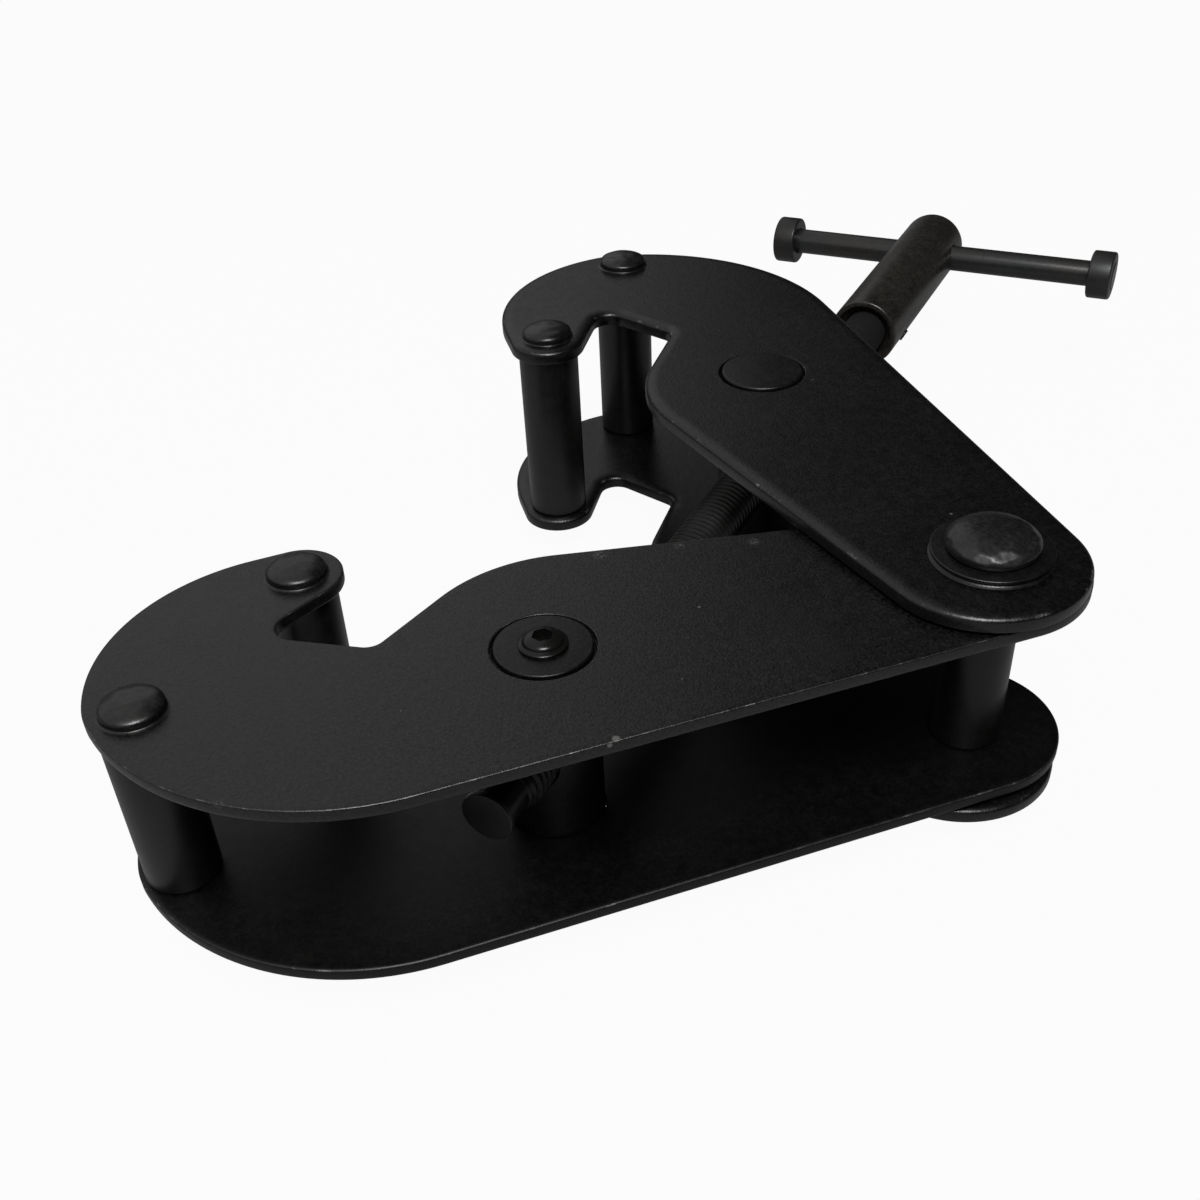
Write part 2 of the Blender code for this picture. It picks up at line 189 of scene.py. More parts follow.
def plate(name, place, z_mid, top, bottom):
    """One jaw plate; top and bottom are the edge rings of its two faces."""
    bm = bmesh.new()
    half = PLATE_T / 2
    rings = [(inset, half - drop) for inset, drop in top]
    rings += [(inset, -half + drop) for inset, drop in reversed(bottom)]

    def ring(points, z):
        return [bm.verts.new(place @ Vector((x * MM, y * MM, (z + z_mid) * MM))) for x, y in points]

    def bridge(a, b):
        n = len(a)
        for i in range(n):
            bm.faces.new((a[i], a[(i + 1) % n], b[(i + 1) % n], b[i]))

    def cap(loops):
        verts = []
        owner = []
        coords = []
        edges = []
        for index, (points, loop) in enumerate(loops):
            first = len(verts)
            n = len(loop)
            verts += loop
            owner += [index] * n
            coords += [Vector(p) for p in points]
            edges += [(first + i, first + (i + 1) % n) for i in range(n)]
        filled = geometry.delaunay_2d_cdt(coords, edges, [], 2, 0.00001)
        for face in filled[2]:
            corners = [filled[3][v][0] for v in face]
            homes = {owner[c] for c in corners}
            # a triangle with all its corners on one hole's rim would close that hole
            if len(homes) > 1 or 0 in homes:
                bm.faces.new([verts[c] for c in corners])

    outer = []
    for inset, z in rings:
        points = jaw_outline(inset)
        points = [points[i] for i in KEEP]
        outer.append((points, ring(points, z)))
    for a, b in zip(outer, outer[1:]):
        bridge(a[1], b[1])
    top_loops = [outer[0]]
    low_loops = [outer[-1]]
    for key, r in HOLES.items():
        count = 96 if key == "trunnion" else 48
        steps = [(r + more, half - drop) for more, drop in HOLE_EDGE]
        steps += [(radius, -z) for radius, z in reversed(steps)]
        loops = []
        for radius, z in steps:
            points = arc_points(SPOTS[key], radius, 0.0, 2 * math.pi, count)[:-1]
            loops.append((points, ring(points, z)))
        for a, b in zip(loops, loops[1:]):
            bridge(a[1], b[1])
        top_loops.append(loops[0])
        low_loops.append(loops[-1])
    cap(top_loops)
    cap(low_loops)
    return new_object(name, bm, 40)


# Turned pieces

def fillets(points, segments=6):
    """A profile of (r, z) or (r, z, fillet) corners with the fillets made as arcs."""
    out = []
    for i, p in enumerate(points):
        if len(p) == 2 or i in (0, len(points) - 1):
            out.append((p[0], p[1]))
            continue
        here = Vector(p[:2])
        a = Vector(points[i - 1][:2]) - here
        b = Vector(points[i + 1][:2]) - here
        half = a.angle(b) / 2
        run = min(p[2] / math.tan(half), a.length * 0.49, b.length * 0.49)
        radius = run * math.tan(half)
        a.normalize()
        b.normalize()
        centre = here + (a + b).normalized() * (radius / math.sin(half))
        start = here + a * run - centre
        finish = here + b * run - centre
        sweep = start.angle_signed(finish)
        for k in range(segments + 1):
            t = -sweep * k / segments
            c, s = math.cos(t), math.sin(t)
            out.append((centre.x + start.x * c - start.y * s, centre.y + start.x * s + start.y * c))
    return out


def lathe_into(bm, profile, place, steps, shape=None, closed=False):
    """Turns a profile about the place's Z. shape(r, z, angle) may move a point."""
    rows = []
    for r, z in profile:
        if r < 1e-6:
            zz = z if shape is None else shape(0.0, z, 0.0)[1]
            rows.append([bm.verts.new(place @ Vector((0.0, 0.0, zz * MM)))])
            continue
        row = []
        for k in range(steps):
            a = 2 * math.pi * k / steps
            rr, zz = (r, z) if shape is None else shape(r, z, a)
            row.append(bm.verts.new(place @ Vector((rr * math.cos(a) * MM, rr * math.sin(a) * MM, zz * MM))))
        rows.append(row)
    pairs = list(zip(rows, rows[1:]))
    if closed:
        pairs.append((rows[-1], rows[0]))
    for a, b in pairs:
        if len(a) == 1 and len(b) == 1:
            continue
        for k in range(steps):
            n = (k + 1) % steps
            if len(a) == 1:
                bm.faces.new((a[0], b[k], b[n]))
            elif len(b) == 1:
                bm.faces.new((a[k], b[0], a[n]))
            else:
                bm.faces.new((a[k], b[k], b[n], a[n]))


def lathe(name, profile, place, steps=96, closed=False):
    bm = bmesh.new()
    lathe_into(bm, fillets(profile), place, steps, None, closed)
    return new_object(name, bm)


def tube(name, outer, inner, low, high, edge, place, steps=96):
    return lathe(name, [(inner, high), (outer, high, edge), (outer, low, edge), (inner, low)], place, steps, True)


def rod(name, r, low, high, place, steps):
    return lathe(name, [(0, high), (r, high), (r, low), (0, low)], place, steps)


def cut(obj, tool):
    """Takes the tool's solid out of the object's."""
    modifier = obj.modifiers.new("cut", "BOOLEAN")
    modifier.operation = "DIFFERENCE"
    modifier.solver = "EXACT"
    modifier.object = tool
    bpy.context.view_layer.update()
    graph = bpy.context.evaluated_depsgraph_get()
    mesh = bpy.data.meshes.new_from_object(obj.evaluated_get(graph))
    obj.modifiers.clear()
    old = obj.data
    obj.data = mesh
    bpy.data.meshes.remove(old)
    bpy.data.objects.remove(tool, do_unlink=True)
    smooth_but_sharp(mesh, 32)


def drill(obj, radius, reach, place, steps):
    cut(obj, rod("drill", radius, -reach, reach, place, steps))


# Shading

def grey(v, warm):
    return (v * (1 + warm), v, v * (1 - warm), 1.0)


class Shade:
    """Small builder of procedural node materials in the piece's own coordinates."""

    def __init__(self, name):
        self.material = bpy.data.materials.new(name)
        self.material.use_nodes = True
        self.tree = self.material.node_tree
        self.bsdf = self.tree.nodes["Principled BSDF"]
        self.coord = self.tree.nodes.new("ShaderNodeTexCoord").outputs["Object"]

    def node(self, kind, **props):
        n = self.tree.nodes.new(kind)
        for key, value in props.items():
            setattr(n, key, value)
        return n

    def link(self, a, b):
        self.tree.links.new(a, b)

    def put(self, socket, value):
        if isinstance(value, bpy.types.NodeSocket):
            self.link(value, socket)
        else:
            socket.default_value = value

    def noise(self, per_mm, detail, rough):
        n = self.node("ShaderNodeTexNoise")
        self.link(self.coord, n.inputs["Vector"])
        n.inputs["Scale"].default_value = per_mm / MM
        n.inputs["Detail"].default_value = detail
        n.inputs["Roughness"].default_value = rough
        return n.outputs["Fac"]

    def span(self, value, low, high, to_low=0.0, to_high=1.0, smooth=False):
        n = self.node("ShaderNodeMapRange", clamp=True)
        if smooth:
            n.interpolation_type = "SMOOTHSTEP"
        self.link(value, n.inputs["Value"])
        n.inputs["From Min"].default_value = low
        n.inputs["From Max"].default_value = high
        n.inputs["To Min"].default_value = to_low
        n.inputs["To Max"].default_value = to_high
        return n.outputs["Result"]

    def swing(self, value, low, high):
        """Spreads the middle of a noise from low to high."""
        return self.span(value, 0.3, 0.7, low, high)

    def math(self, op, a, b=0.0):
        n = self.node("ShaderNodeMath", operation=op)
        self.put(n.inputs[0], a)
        self.put(n.inputs[1], b)
        return n.outputs[0]

    def most(self, masks):
        """The strongest of some masks, or None without any."""
        total = None
        for mask in masks:
            total = mask if total is None else self.math("MAXIMUM", total, mask)
        return total

    def mix(self, factor, a, b):
        n = self.node("ShaderNodeMix", data_type="FLOAT")
        self.put(n.inputs["Factor"], factor)
        self.put(n.inputs["A"], a)
        self.put(n.inputs["B"], b)
        return n.outputs["Result"]

    def mix_colour(self, factor, a, b):
        n = self.node("ShaderNodeMix", data_type="RGBA")
        self.put(n.inputs["Factor"], factor)
        self.put(n.inputs[6], a)
        self.put(n.inputs[7], b)
        return n.outputs[2]

    def split(self, vector):
        n = self.node("ShaderNodeSeparateXYZ")
        self.link(vector, n.inputs[0])
        return n.outputs

    def near(self, point, radius, ragged, grain):
        """1 close to a point, fading over the radius, with a ragged rim."""
        n = self.node("ShaderNodeVectorMath", operation="DISTANCE")
        self.link(self.coord, n.inputs[0])
        n.inputs[1].default_value = Vector(point) * MM
        d = self.math("MULTIPLY", n.outputs["Value"], 1 / (radius * MM))
        wobble = self.swing(self.noise(grain, 4.0, 0.65), -ragged, ragged)
        return self.span(self.math("ADD", d, wobble), 1.0, 0.55)

    def bump(self, height, distance, strength):
        n = self.node("ShaderNodeBump")
        n.inputs["Strength"].default_value = strength
        n.inputs["Distance"].default_value = distance * MM
        self.link(height, n.inputs["Height"])
        return n.outputs["Normal"]

    def toned(self, level, warm, tone):
        """A grey scaled by a varying tone, with a slow drift between warm and cool."""
        drift = self.span(self.noise(0.05, 2.0, 0.5), 0.35, 0.65)
        base = self.mix_colour(drift, grey(level, warm + 0.05), grey(level, warm - 0.05))
        n = self.node("ShaderNodeVectorMath", operation="SCALE")
        self.link(base, n.inputs[0])
        self.link(tone, n.inputs["Scale"])
        return n.outputs["Vector"]

    def finish(self, colour, metal, rough, normal, spec):
        self.put(self.bsdf.inputs["Base Color"], colour)
        self.put(self.bsdf.inputs["Metallic"], metal)
        self.put(self.bsdf.inputs["Roughness"], rough)
        self.put(self.bsdf.inputs["Specular IOR Level"], spec)
        self.link(normal, self.bsdf.inputs["Normal"])
        return self.material


BARE = grey(0.16, 0.02)
BARE_ROUGH = 0.38
# Light grey, smoother finish of a painted highlight
PAINTED_HIGHLIGHT = grey(0.45, 0.02)
PAINTED_HIGHLIGHT_ROUGH = 0.28
# Near-black grey of the painted shade in recesses
PAINTED_SHADE_LEVEL = 0.003


def worn_rims(s, worn, line):
    """Where the rounded rims of a plate show steel: a faint line all along and stronger patches."""
    normal = s.node("ShaderNodeNewGeometry").outputs["Normal"]
    z = s.math("ABSOLUTE", s.split(normal)[2])
    ridge = s.math("MULTIPLY", s.span(z, 0.93, 0.84, smooth=True), s.span(z, 0.52, 0.70, smooth=True))
    patch = s.span(s.noise(0.16, 5.0, 0.7), 0.60 - 0.2 * worn, 0.70 - 0.2 * worn, line, 1.0)
    broken = s.span(s.noise(1.3, 3.0, 0.6), 0.30, 0.55, 0.4, 1.0)
    return s.math("MULTIPLY", s.math("MULTIPLY", ridge, patch), broken)


def scuff(s, point, radius):
    """A rubbed place, broken up by a fine noise."""
    broken = s.span(s.noise(1.1, 5.0, 0.8), 0.48, 0.60, 0.0, 0.7)
    return s.math("MULTIPLY", s.near(point, radius, 0.6, 1.1), broken)


def coating(name, level, warm=0.04, rough=0.39, spec=0.5, scuffs=(), stains=(), dots=(), worn=0.0, line=0.0,
            grain=1.0):
    """Black oxide or paint over steel: mottled tone and gloss, fine grain, scuffs and worn corners."""
    s = Shade(name)
    cloud = s.noise(0.035, 3.0, 0.6)
    mottle = s.noise(0.32, 4.0, 0.65)
    fine = s.noise(1.7, 3.0, 0.6)
    speckle = s.span(s.noise(1.15, 2.0, 0.7), 0.38, 0.66, 1.0 - 0.7 * grain, 1.0 + 0.9 * grain)
    tone = s.math("ADD", s.swing(cloud, -0.25, 0.25), s.swing(mottle, -0.30, 0.30))
    tone = s.math("MULTIPLY", s.math("ADD", tone, 1.0), speckle)
    colour = s.toned(level, warm, tone)
    gloss = s.math("ADD", s.swing(mottle, -0.04, 0.04), s.swing(cloud, rough - 0.03, rough + 0.03))
    metal = 0.0
    if stains:
        mask = s.math("MULTIPLY", s.most([s.near(point, radius, 0.6, 0.25) for point, radius in stains]), 0.5)
        gloss = s.mix(mask, gloss, rough + 0.10)
        colour = s.mix_colour(mask, colour, grey(level * 0.4, warm))
    masks = [worn_rims(s, worn, line)] if worn or line else []
    masks += [scuff(s, point, radius) for point, radius in scuffs]
    masks += [s.near(point, radius, 0.2, 1.0) for point, radius in dots]
    wear = s.most(masks)
    height = s.math("ADD", s.math("MULTIPLY", fine, 0.6 * grain), s.math("MULTIPLY", mottle, 0.7))
    if wear is not None:
        colour = s.mix_colour(s.math("MULTIPLY", wear, 0.85), colour, BARE)
        gloss = s.mix(wear, gloss, BARE_ROUGH)
        metal = s.math("MULTIPLY", wear, 0.5)
        height = s.math("SUBTRACT", height, s.math("MULTIPLY", wear, 0.5))
    return s.finish(colour, metal, gloss, s.bump(height, 0.10 * grain, 0.6), spec)


def steel(name, level, rough, metal, painted_highlight=(), painted_shade=(), spec=0.5):
    """Blackened steel with soft mottling, a painted highlight where places are painted light grey, and painted
    shade where places that lie deep in a recess are painted near black.
    """
    s = Shade(name)
    warm = 0.02
    mottle = s.noise(0.5, 4.0, 0.65)
    cloud = s.noise(0.06, 3.0, 0.6)
    colour = s.toned(level, warm, s.math("ADD", s.swing(cloud, 0.85, 1.15), s.swing(mottle, -0.08, 0.08)))
    gloss = s.math("ADD", s.swing(mottle, -0.025, 0.025), rough)
    # painted highlight: places painted light grey and smoother
    highlight_mask = s.most([s.near(point, radius, 0.4, 0.9) for point, radius in painted_highlight])
    if highlight_mask is not None:
        colour = s.mix_colour(s.math("MULTIPLY", highlight_mask, 0.8), colour, PAINTED_HIGHLIGHT)
        gloss = s.mix(highlight_mask, gloss, PAINTED_HIGHLIGHT_ROUGH)
    # painted shade: places deep in a recess are painted near black and matte
    for point, radius in painted_shade:
        mask = s.near(point, radius, 0.1, 0.5)
        colour = s.mix_colour(mask, colour, grey(PAINTED_SHADE_LEVEL, warm))
        gloss = s.mix(mask, gloss, 0.9)
        metal = s.mix(mask, metal, 0.0)
    return s.finish(colour, metal, gloss, s.bump(mottle, 0.02, 0.5), spec)


def dress(obj, material, body, node):
    obj.data.materials.clear()
    obj.data.materials.append(material)
    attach(obj, body)
    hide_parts(node)


# Jaws

inner_top_coat = coating(
    "inner_top_coat", 0.0029, warm=0.01, rough=0.34, grain=1.4, worn=0.35, line=0.11,
    scuffs=[((-62.9, -79.6, INNER_TOP), 2.6), ((-60.6, -77.3, INNER_TOP), 1.6), ((-44.1, -83.4, INNER_TOP), 1.8),
            ((-27.0, -88.9, INNER_TOP), 2.0), ((-13.0, -92.4, INNER_TOP), 1.6), ((-161.0, -132.0, INNER_TOP), 1.6)],
    dots=[((-82.6, -143.6, INNER_TOP), 1.0), ((-84.2, -144.2, 62.9), 0.7), ((-49.5, -108.5, INNER_TOP), 0.38),
          ((-121.0, -118.0, INNER_TOP), 0.22), ((-63.0, -131.0, INNER_TOP), 0.2)],
    stains=[((-31.2, -122.5, INNER_TOP), 9.0), ((-36.0, -112.0, INNER_TOP), 6.0),
            ((-30.1, -134.8, INNER_TOP), 6.0)])
# Painted shade: the lower plate gets a darker, less glossy copy of the coating, for the shade it lies in under the
# upper plate
inner_low_shaded_coat = coating("inner_low_shaded_coat", 0.0018, warm=0.01, spec=0.30, grain=0.8, worn=0.25, line=0.10)
outer_coat = coating(
    "outer_coat", 0.0021, warm=0.01, rough=0.33, grain=1.3, worn=0.05, line=0.0,
    scuffs=[((19.9, -20.0, OUTER_TOP), 1.2), ((18.7, -28.0, OUTER_TOP), 0.9)],
    dots=[((17.6, -103.4, OUTER_TOP), 0.45), ((8.0, 12.0, OUTER_TOP), 0.25), ((-21.0, 32.0, OUTER_TOP), 0.22)])

for jaw, end, way, low_edge, coat in (
        ("inner", "top", -1, CRISP, inner_top_coat), ("inner", "bottom", 1, EASED, inner_low_shaded_coat),
        ("outer", "top", 1, CRISP, outer_coat), ("outer", "bottom", -1, CRISP, outer_coat)):
    skin = plate(f"{jaw}_plate_{end}_skin", JAW[jaw], way * MIDDLE[jaw], SOFT, low_edge)
    dress(skin, coat, f"{jaw}_jaw", f"{jaw}_plate_{end}")

# Spacers, sleeve and rivets

spacer_coat = coating("spacer_coat", 0.0038, rough=0.36, grain=0.5)
rivet_coat = coating("rivet_coat", 0.0045, rough=0.33, grain=0.8)
SPACERS = (("inner", "nose", "nose"), ("inner", "tip", "tip"), ("outer", "back", "nose"), ("outer", "tip", "tip"))


def at(jaw, spot):
    x, y = SPOTS[spot]
    return JAW[jaw] @ Matrix.Translation((x * MM, y * MM, 0.0))


for jaw, end, spot in SPACERS:
    reach = SPACER_END[jaw]
    spacer = tube(f"{jaw}_{end}_tube", TUBE_R, RIVET_HOLE_R, -reach, reach, TUBE_EDGE, at(jaw, spot))
    dress(spacer, spacer_coat, f"{jaw}_jaw", f"{jaw}_{end}_spacer")
sleeve_coat = coating("sleeve_coat", 0.0035, rough=0.34, grain=0.4, spec=0.42)
reach = SPACER_END["inner"]
sleeve = tube("load_sleeve", TUBE_R, PIN_HOLE_R, -reach, reach, TUBE_EDGE, Matrix.Translation(PIN))
dress(sleeve, sleeve_coat, "inner_jaw", "pivot_sleeve")


def crown(radius, rim, height, foot, power):
    """A dome's profile from its top to its rim. A power of 2 gives an ellipse, and more a flatter top."""
    rings = 22
    out = [(0.0, foot + height)]
    for i in range(1, rings + 1):
        a = math.pi / 2 * i / rings
        out.append((radius * math.sin(a) ** (2 / power), foot + rim + (height - rim) * math.cos(a) ** (2 / power)))
    return out


def skirt(radius, foot):
    """Foot of a closed head, with the coating drawn out where it meets what it sits on."""
    return [(radius - 0.05, foot + 0.85), (radius - 0.14, foot + 0.40), (radius - 0.06, foot + 0.22),
            (radius + 0.16, foot + 0.09), (radius + 0.55, foot + 0.01)]


def headed(name, shank, top, foot, place, shape, steps=96):
    """A pin with the same head at both ends."""
    low = [(r, -z) for r, z in reversed(top)]
    bm = bmesh.new()
    lathe_into(bm, top + [(shank, foot), (shank, -foot)] + low, place, steps, shape)
    return new_object(name, bm, 38)


def beaten(seed):
    """Slight unevenness of a closed rivet head."""
    offset = Vector((seed * 3.1, seed * 1.7, seed * 0.9))

    def shape(r, z, a):
        p = Vector((r * math.cos(a), r * math.sin(a), z)) * 0.28 + offset
        d = noise.noise(p) * 0.30
        reach = max(0.0, 1.0 - (r / RIVET_HEAD_R) ** 4)
        return (r, z + (d * reach if z > 0 else -d * reach))

    return shape


def hammered(seed, foot, count, depth):
    """Facets struck into the main pin's domed heads: each one planes off what stands above it."""
    rng = random.Random(seed)
    planes = []
    centre_z = foot - 4.0
    for i in range(count):
        spin = 2 * math.pi * (i * 0.618034 + rng.uniform(-0.05, 0.05))
        lean = math.radians(6 + 50 * math.sqrt((i + 0.5) / count))
        n = Vector((math.sin(lean) * math.cos(spin), math.sin(lean) * math.sin(spin), math.cos(lean)))
        best = 0.0
        for r, z in crown(PIN_HEAD_R, PIN_HEAD_RIM, PIN_HEAD_H, foot, PIN_POWER):
            best = max(best, r * math.hypot(n.x, n.y) + (z - centre_z) * n.z)
        planes.append((n, best - rng.uniform(0.6, 1.0) * depth))

    def shape(r, z, a):
        side = 1.0 if z > 0 else -1.0
        # the wall and the foot keep their shape
        if side * z <= foot + 1.6:
            return (r, z)
        p = Vector((r * math.cos(a), r * math.sin(a), side * z - centre_z))
        for n, reach in planes:
            over = p.dot(n) - reach
            if over > 0:
                p -= n * over
        rough = noise.noise(p * 0.9) * 0.08
        return (math.hypot(p.x, p.y), side * (p.z + centre_z + rough))

    return shape


for seed, (jaw, end, spot) in enumerate(SPACERS, 1):
    foot = FACE[jaw] + FOOT_GAP
    head = crown(RIVET_HEAD_R, 1.35, RIVET_HEAD_H, foot, 2.25) + skirt(RIVET_HEAD_R, foot)
    dress(headed(f"{jaw}_{end}_head", RIVET_R, head, foot, at(jaw, spot), beaten(seed)), rivet_coat,
          f"{jaw}_jaw", f"{jaw}_{end}_rivet")

pin_coat = coating("pin_coat", 0.0085, rough=0.36, grain=0.6)
pin_foot = FACE["outer"] + WASHER_LIFT + WASHER_T + FOOT_GAP
pin_top = crown(PIN_HEAD_R, PIN_HEAD_RIM, PIN_HEAD_H, pin_foot, PIN_POWER)
pin_top += [(10.75, pin_foot + 0.7), (10.4, pin_foot + 0.2), (10.1, pin_foot)]
dress(headed("main_pin_beaten", PIN_R, pin_top, pin_foot, Matrix.Translation(PIN), hammered(7, pin_foot, 20, 0.24),
             144), pin_coat, "inner_jaw", "main_pin")

washer_coat = coating("washer_coat", 0.0028, rough=0.36, grain=0.8)
low = FACE["outer"] + FOOT_GAP
high = FACE["outer"] + WASHER_LIFT + WASHER_T
washer = [(PIN_HOLE_R, high), (WASHER_R, high, 0.3), (14.0, low + 1.0), (13.6, low + 0.5), (13.75, low + 0.30),
          (14.0, low + 0.18), (14.35, low), (PIN_HOLE_R, low)]
dress(lathe("washer_top_ring", washer, Matrix.Translation(PIN), 128, True), washer_coat,
      "inner_jaw", "pivot_washer_top")
flip = Matrix.Translation(PIN) @ Matrix.Rotation(math.pi, 4, "X")
dress(lathe("washer_bottom_ring", washer, flip, 128, True), washer_coat,
      "inner_jaw", "pivot_washer_bottom")

# Trunnions and screw

trunnion_x, trunnion_y = SPOTS["trunnion"]
inner_at = JAW["inner"] @ Vector((trunnion_x * MM, trunnion_y * MM, 0.0))
outer_at = JAW["outer"] @ Vector((trunnion_x * MM, trunnion_y * MM, 0.0))
span = outer_at - inner_at
along = span.normalized()
across = Vector((along.y, -along.x, 0.0))
half_span = span.length / 2
bar_dir = Matrix.Rotation(-math.radians(1.6), 3, along) @ across


def screw_frame(w):
    """Z along the screw towards the handle and X along the cross bar, w from the screw's middle."""
    turn = Matrix((bar_dir, along.cross(bar_dir), along)).transposed().to_4x4()
    return Matrix.Translation(inner_at + along * (half_span + w * MM)) @ turn


trunnion_coat = coating("trunnion_coat", 0.0026, warm=0.03, rough=0.38, spec=0.36)


def barrel(name, half, shoulder, end, edge, place):
    """A cross barrel whose ends are turned down a little, the upper one as far as its shoulder."""
    low = half - 0.7
    line = [(0, half), (end, half, edge), (end, shoulder), (BARREL_R, shoulder - 0.3, 0.2),
            (BARREL_R, 0.3 - low, 0.2), (end, -low), (end, -half, 0.3), (0, -half)]
    return lathe(name, line, place, 128)


BORE_REACH = 20
inner_barrel = barrel("inner_barrel", 26.1, 24.4, 11.2, 0.45, Matrix.Translation(inner_at))
drill(inner_barrel, BORE_R, BORE_REACH, screw_frame(-half_span / MM), 96)
cut(inner_barrel, rod("tap", 3.2, 16.5, 28, Matrix.Translation(inner_at), 48))
dress(inner_barrel, trunnion_coat, "inner_swivel", "inner_trunnion")
outer_barrel = barrel("outer_barrel", 31.2, 29.2, 11.3, 0.7, Matrix.Translation(outer_at))
drill(outer_barrel, BORE_R, BORE_REACH, screw_frame(half_span / MM), 96)
dress(outer_barrel, trunnion_coat, "outer_swivel", "outer_trunnion")

# Painted shade: the hex socket of the button screw is painted near black
socket_at = (inner_at.x / MM, inner_at.y / MM, inner_at.z / MM + 25.4)
button_steel = steel("button_steel", 0.005, 0.25, 0.1, spec=0.36, painted_shade=[(socket_at, 2.9)])
button_line = crown(4.6, 1.0, 2.6, 26.4, 2.2)
button_line += [(4.75, 27.2), (5.35, 27.05), (5.6, 26.85), (5.62, 26.55), (5.45, 26.2),
                (3.0, 26.2), (3.0, 16.8), (0.0, 16.8)]
button = lathe("button_screw", button_line, Matrix.Translation(inner_at))
socket_line = [(0, 30.5), (2.5, 30.5), (2.5, 25.6), (0, 25.2)]
cut(button, lathe("hex", socket_line, Matrix.Translation(inner_at), 6))
dress(button, button_steel, "inner_swivel", "trunnion_screw")

# One pitch of the thread, as (share of the pitch, radius)
PITCH = 2.0
ROOT_R = 5.78
THREAD = [(0.0, ROOT_R), (0.13, ROOT_R), (0.42, 6.86), (0.47, 6.98), (0.60, 6.98), (0.65, 6.86), (0.94, ROOT_R),
          (1.0, ROOT_R)]
FADED_R = 5.70


def thread_into(bm, place, low, high, hand, steps=48):
    """Helical thread surface between two places, fading out over a turn at each end."""
    turns = int(math.ceil((high - low) / PITCH)) + 1
    columns = []
    for k in range(turns * steps + 1):
        spin = hand * 2 * math.pi * k / steps
        base = low - PITCH + PITCH * k / steps
        column = []
        for share, r in THREAD:
            z = base + share * PITCH
            fade = min(1.0, max(0.0, (z - low) / PITCH), max(0.0, (high - z) / PITCH))
            radius = FADED_R + (r - FADED_R) * fade
            z = min(high, max(low, z))
            point = Vector((radius * math.cos(spin) * MM, radius * math.sin(spin) * MM, z * MM))
            column.append(bm.verts.new(place @ point))
        columns.append(column)
    for a, b in zip(columns, columns[1:]):
        for j in range(len(a) - 1):
            bm.faces.new((a[j], a[j + 1], b[j + 1], b[j]))


def spindle_mesh():
    """Shank, left- and right-hand threads with a relief between them, and the neck of the free end."""
    bm = bmesh.new()
    place = screw_frame(0.0)
    thread_into(bm, place, -85.4, -2.2, 1)
    thread_into(bm, place, 2.2, 150.0, -1)
    bmesh.ops.remove_doubles(bm, verts=bm.verts, dist=0.000002)
    bmesh.ops.dissolve_degenerate(bm, dist=0.0000005, edges=bm.edges)
    rims = [e for e in bm.edges if e.is_boundary]
    bmesh.ops.holes_fill(bm, edges=rims, sides=0)
    core = [(0, 191.9), (SPINDLE_R, 191.9, 0.8), (SPINDLE_R, 152.0), (5.72, 149.0), (5.72, 2.4), (5.8, 1.5),
            (5.8, -1.5), (5.72, -2.4), (5.72, -85.0), (6.1, -85.7, 0.2), (NECK_R, -86.3, 0.3), (NECK_R, -93.7, 0.2),
            (0, -93.7)]
    lathe_into(bm, fillets(core, 4), place, 96)
    return new_object("threaded_spindle", bm, 40)


# Painted highlight on the thread crests between the jaws, and painted shade on the shank where it goes into the
# boss's mouth
shank_at = (inner_at + along * (half_span + 170.0 * MM)) / MM
thread_steel = steel("thread_steel", 0.018, 0.30, 0.5, spec=0.3, painted_highlight=[((-64.7, -87.0, 44.0), 5.0)],
                     painted_shade=[(shank_at, 34.0)])
dress(spindle_mesh(), thread_steel, "screw", "spindle")

disc_steel = steel("disc_steel", 0.020, 0.36, 0.5)
disc_line = [(0, -94.0), (STOP_R, -94.0, 0.25), (STOP_R, -95.5, 0.3), (0, -95.5)]
dress(lathe("stop_disc", disc_line, screw_frame(0.0)), disc_steel, "screw_end", "spindle_stop_disc")

# Handle

boss_coat = coating("boss_coat", 0.0155, warm=0.13, rough=0.34, grain=0.55)
boss_place = screw_frame(162.5)
boss_line = [(0, 85.0), (BOSS_R, 85.0, 1.1), (BOSS_R, 0.0, 0.9), (9.7, 0.0, 0.15), (8.9, 0.9), (BORE_R, 2.6),
             (BORE_R, 30.0), (0, 32.3)]
boss = lathe("boss_body", boss_line, boss_place, 128)
lay = Matrix.Rotation(math.pi / 2, 4, "Y")
pin_place = boss_place @ Matrix.Translation((0, 0, 15.5 * MM)) @ Matrix.Rotation(math.radians(30), 4, "Z") @ lay
bar_place = boss_place @ Matrix.Translation((0, 0, 73.0 * MM)) @ lay
drill(boss, ROLL_PIN_R + 0.3, BORE_REACH, pin_place, 48)
drill(boss, BAR_R + 0.3, BORE_REACH, bar_place, 96)
dress(boss, boss_coat, "screw", "handle_boss")

pin_steel = steel("pin_steel", 0.030, 0.35, 0.6)
roll_pin = tube("roll_pin", ROLL_PIN_R, 1.3, -11.0, 11.9, 0.3, pin_place, 48)
dress(roll_pin, pin_steel, "screw", "boss_roll_pin")
bar_steel = steel("bar_steel", 0.032, 0.29, 0.5)
bar_line = [(0, 69.2), (BAR_R, 69.2, 0.5), (BAR_R, -57.8, 0.5), (0, -57.8)]
dress(lathe("cross_rod", bar_line, bar_place), bar_steel, "cross_bar", "tommy_bar")
cap_steel = steel("cap_steel", 0.026, 0.38, 0.45)
for side, low, high in (("left", -57.5, -49.5), ("right", 60.9, 68.9)):
    dress(tube(side + "_cap", CAP_R, 4.7, low, high, 0.8, bar_place), cap_steel,
          "cross_bar", "bar_cap_" + side)

# Studio

scene = bpy.context.scene
scene.view_settings.view_transform = "Standard"


